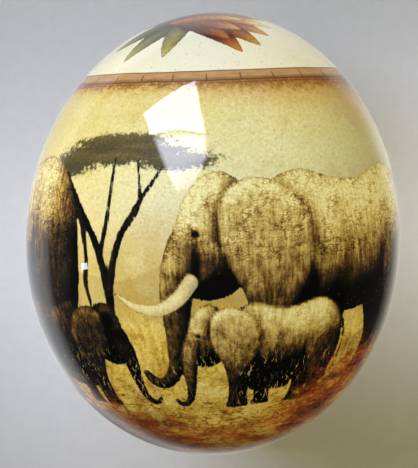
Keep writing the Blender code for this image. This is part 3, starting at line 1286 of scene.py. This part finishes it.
round_egg = times(maths("ARCTAN2", sideways, upwards), around_scale)
stalks = 0.0
for spacing, lean in STALKS:
    bent = times_plus(height, lean, maths("DIVIDE", round_egg, spacing))
    bent = times_plus(noise(place, 5.0), STALK_BEND, bent)
    from_stalk = maths("ABSOLUTE", minus(maths("FRACT", bent), 0.5))
    stalks = maths("MAXIMUM", stalks, step(from_stalk, *STALK_WIDTH, 1.0, 0.0))
near_feet = times(step(height, *STALK_HEIGHTS), step(noise(upright, 1.2), 0.0, 0.08))
near_feet = times(near_feet, step(noise(place, 7.0), -0.03, 0.08, 0.1, 1.0))
colour = blend(times(times(stalks, near_feet), STALK_STRENGTH), colour, STALK_COLOUR)
report("stalks")

# %% [markdown]
# ## Rust at the base, and the burnt edge
#
# Towards the base the print turns to mottled rust, as if scorched, and it climbs further up at
# the sides. Under the ring the paper is singed too: a warm glow with a darker edge, ragged like
# real scorching. Each is a depth measured from a height, with noise added, so that one ramp or
# one blend can colour it.

# %% Rust the base
RUST_TOP = -56.0
RUST_CLIMBS = [(8.0, 48.0, 22.0), (-10.0, -40.0, 7.0)]  # where it begins and ends, how far up
RUST_TONES = [
    (0.28, (0.05, 0.007, 0.001)), (0.42, (0.22, 0.030, 0.002)), (0.56, (0.50, 0.105, 0.007)),
    (0.68, (0.70, 0.32, 0.035)), (0.82, (0.82, 0.53, 0.11)),
]
RUST_STRENGTH = 0.93
RUST_RAGGED = 26.0
RUST_MIDDLE = 6.0  # how far right it is brightest
RUST_GLOW = (2.0, 26.0, 0.67, 0.50)  # mm from there, and how light it is at each
STREAK_SIZE = 4.2

ragged = times(noise(squeezed(1.0, 0.5, 1.0), 3.0, 5.0, 0.7), RUST_RAGGED)
rust_depth = plus(minus(RUST_TOP, height), ragged)
for begins, full, climb in RUST_CLIMBS:
    rust_depth = plus(rust_depth, step(sideways, begins, full, 0.0, climb))
from_middle = maths("ABSOLUTE", minus(sideways, RUST_MIDDLE))
rust_tone = times_plus(tuft, 0.4, step(from_middle, *RUST_GLOW))
streaks = noise(squeezed(0.38, 1.0, 0.38), STREAK_SIZE, 5.0, 0.68)
rust_tone = times_plus(streaks, 1.5, rust_tone)
rusty = step(rust_depth, -2.0, 7.0, 0.0, RUST_STRENGTH)
colour = blend(rusty, colour, ramp(rust_tone, RUST_TONES))
report("rust")

# %% Darken the rust
BASE_HEIGHTS = (-58.0, -70.0)
BASE_STRENGTH = 0.5
BASE_COLOUR = (0.13, 0.03, 0.005)
LEFT_HEIGHTS = (-51.0, -58.0)
LEFT_REACH = (-8.0, -26.0)
LEFT_STRENGTH = 0.68
LEFT_COLOUR = (0.14, 0.014, 0.001)
RUSTED_TWIG_STRENGTH = 0.6
RUSTED_TWIG_COLOUR = (0.15, 0.018, 0.001)

lowest = step(plus(height, times(ragged, 0.3)), *BASE_HEIGHTS, 0.0, BASE_STRENGTH)
colour = blend(lowest, colour, BASE_COLOUR)
leftmost = step(sideways, *LEFT_REACH, 0.0, LEFT_STRENGTH)
colour = blend(times(step(height, *LEFT_HEIGHTS), leftmost), colour, LEFT_COLOUR)
on_rust = times(twigs, step(rust_depth, -9.0, 1.0, 0.0, RUSTED_TWIG_STRENGTH))
colour = blend(on_rust, colour, RUSTED_TWIG_COLOUR)
report("dark rust")

# %% Burn the edge under the ring
RING_LOW = 51.3  # height of the printed ring's lower edge above the egg's middle, in mm
GLOW_REACH = (-30.0, 35.0, 5.0, 13.0)  # from left to right it spreads further down
GLOW_CORNER = (40.0, 52.0, 0.0, 11.0)  # and at the far right by that much more
GLOW_STRENGTH = 0.75
GLOW_COLOUR = (0.60, 0.27, 0.035)
BURN_RAGGED = 11.0
BURN_REACH = 0.40  # of the glow's
BURN_STRENGTH = (0.0, 30.0, 0.68, 0.80)  # from the middle to the right
BURN_COLOUR = (0.21, 0.045, 0.006)

from_ring = times_plus(noise(place, 1.5, 5.0, 0.75), BURN_RAGGED, minus(RING_LOW, height))
glow_reach = plus(step(sideways, *GLOW_REACH), step(sideways, *GLOW_CORNER))
colour = blend(step(from_ring, 0.0, glow_reach, GLOW_STRENGTH, 0.0), colour, GLOW_COLOUR)
burn_strength = step(sideways, *BURN_STRENGTH)
burn = step(from_ring, 0.0, times(glow_reach, BURN_REACH), burn_strength, 0.0)
colour = blend(burn, colour, BURN_COLOUR)
report("burnt edge")

# %% [markdown]
# ## The ring and the bare crown
#
# The paper stops at a printed ring, and beyond it the cream shell shows. The ring is a band
# between two thin dark lines, with plain ticks round it. At the base a small ring of the same
# kind closes the print. Hand-pasted paper is never quite level, so every height in it is read
# from a slightly wavy one.

# %% Lay the ring's band and the cream beyond it
CREAM = (0.94, 0.88, 0.665)
RING_COLOURS = [(0.38, 0.15, 0.04), (0.72, 0.46, 0.21)]
RING_TOP = 54.3
BASE_RING = -71.6  # the ring at the base, where the cap is much smaller
BASE_CAP = -72.6
EDGE_SOFTNESS = 0.08
WAVE_LENGTH = 22.0
WAVE_HEIGHT = 0.9
RING_TILT = (-5.0, -38.0, 0.0, 0.55)  # it lies a little higher towards the left

wavy = plus(height, times(noise(place, WAVE_LENGTH, 2.0), WAVE_HEIGHT))
wavy = minus(wavy, step(sideways, *RING_TILT))
ring_colour = blend(plus(noise(level, 1.0, 4.0), 0.5), *RING_COLOURS)
for edge, cap_edge in ((RING_LOW, RING_TOP), (BASE_RING, BASE_CAP)):
    soft = math.copysign(EDGE_SOFTNESS, cap_edge)
    colour = blend(step(wavy, edge - soft, edge + soft), colour, ring_colour)
    colour = blend(step(wavy, cap_edge - soft, cap_edge + soft), colour, CREAM)
report("ring and cream")

# %% Draw the ring's lines and ticks
LINE_COLOUR = (0.06, 0.018, 0.006)
RING_LINES = [  # where, half width, strength
    (RING_LOW + 0.4, 0.7, 0.5), (RING_LOW, 0.25, 0.75), (RING_TOP, 0.25, 0.85),
    (RING_LOW - 0.9, 0.25, 0.4), (BASE_RING, 0.10, 0.75), (BASE_CAP, 0.10, 0.85),
]
TICK_COUNT = 26  # plain marks round the ring
TICK_WIDTH = (0.010, 0.035)  # of the space between two
TICK_STRENGTH = 0.6

for line_height, half_width, strength in RING_LINES:
    from_line = maths("ABSOLUTE", minus(wavy, line_height))
    line = step(from_line, 0.2 * half_width, half_width, strength, 0.0)
    colour = blend(line, colour, LINE_COLOUR)
turns = plus(maths("DIVIDE", round_egg, full_turn / TICK_COUNT), 0.5)
from_tick = maths("ABSOLUTE", minus(maths("FRACT", turns), 0.5))
above_low = step(wavy, RING_LOW, RING_LOW + 0.2)
below_top = step(wavy, RING_TOP - 0.6, RING_TOP - 0.9)
ticks = times(step(from_tick, *TICK_WIDTH, TICK_STRENGTH, 0.0), times(above_low, below_top))
colour = blend(ticks, colour, LINE_COLOUR)
report("lines and ticks")

# %% [markdown]
# ## The flower in ink
#
# The flower is printed as the animals are, by a depth and a tone. Petals and leaves each have a
# ramp of their own: dark red to yellow for the petals, and olive for the leaves.

# %% Print the flower
FLOWER_INKS = {
    "leaf": [
        (0.0, (0.015, 0.015, 0.006)), (0.35, (0.10, 0.085, 0.02)), (0.65, (0.32, 0.26, 0.05)),
        (1.0, (0.62, 0.56, 0.16)),
    ],
    "petal": [
        (0.0, (0.03, 0.008, 0.003)), (0.25, (0.16, 0.035, 0.010)), (0.5, (0.42, 0.13, 0.025)),
        (0.72, (0.66, 0.34, 0.05)), (1.0, (0.85, 0.72, 0.22)),
    ],
}

glow = plus(drawn("glow"), times(noise(place, 1.2, 5.0, 0.7), 0.5))
rough_edge = times(noise(place, 1.0), 0.8)
on_cap = step(height, RING_TOP, RING_TOP + 1.0)
for layer, inks in FLOWER_INKS.items():
    mask = times(step(plus(drawn(layer), rough_edge), -0.1, 0.3), on_cap)
    colour = blend(mask, colour, ramp(glow, inks))
report("flower")

# %% [markdown]
# ## Pores and varnish
#
# Ostrich shell is pitted all over with fine pores, and they show through thin paper. Modelled
# pits would be far too many, so a cell pattern darkens a dot in each cell, as painted shade in
# the pit, and dents the surface there by less than a tenth of a millimetre. The varnish is a clear
# coat, smooth and glossy, with long shallow waves of its own, and it has yellowed on one side. It
# fills the pores, so they dent the print and not the coat.

# %% Yellow the varnish and prick the pores
YELLOWED = (1.0, 0.95, 0.78)
YELLOWING = (0.0, -40.0)  # from the middle to the left
PORE_SPACING = 2.1
PORE_WIDTH = (0.06, 0.16)  # of the spacing: where it begins to thin out, and where it ends
PORE_SHADE_COLOUR = (0.16, 0.09, 0.03)
PORE_SHADE_STRENGTH = 0.4
GRAIN_SIZE = 0.35
GRAIN_TONES = [(0.2, (0.80, 0.80, 0.78)), (0.8, (1.0, 1.0, 1.0))]

colour = blend(step(sideways, *YELLOWING), colour, YELLOWED, "MULTIPLY")
cells = tree.nodes.new("ShaderNodeTexVoronoi")
wire(place, cells.inputs["Vector"])
cells.inputs["Scale"].default_value = 1.0 / PORE_SPACING
pores = step(cells.outputs["Distance"], *PORE_WIDTH, 1.0, 0.0)
# Painted shade in each pore's pit, at the same dot that dents the print.
colour = blend(times(pores, PORE_SHADE_STRENGTH), colour, PORE_SHADE_COLOUR)
grain = noise(place, GRAIN_SIZE, 2.0, 0.6)
colour = blend(1.0, colour, ramp(plus(grain, 0.5), GRAIN_TONES), "MULTIPLY")
report("pores and grain")

# %% Cover it with varnish
PORE_DEPTH = 0.08 * MM
WAVE_DEPTH = 0.06 * MM
WAVE_SIZE = 9.0
FINISH = {
    "Roughness": 0.5, "Specular IOR Level": 0.05,
    "Coat Weight": 1.0, "Coat Roughness": 0.02, "Coat IOR": 1.5,
}


def bumps(relief, depth):
    """How the surface leans where that relief stands up by the depth."""
    node = tree.nodes.new("ShaderNodeBump")
    node.inputs["Distance"].default_value = depth
    wire(relief, node.inputs["Height"])
    return node.outputs["Normal"]


shader = tree.nodes["Principled BSDF"]
wire(colour, shader.inputs["Base Color"])
wire(bumps(minus(times(grain, 0.3), pores), PORE_DEPTH), shader.inputs["Normal"])
wire(bumps(noise(place, WAVE_SIZE, 2.0), WAVE_DEPTH), shader.inputs["Coat Normal"])
for name, value in FINISH.items():
    shader.inputs[name].default_value = value
mesh.materials.append(material)
report("varnished print")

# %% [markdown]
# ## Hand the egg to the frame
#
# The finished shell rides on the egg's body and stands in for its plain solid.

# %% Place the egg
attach(egg, "root")
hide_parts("egg")
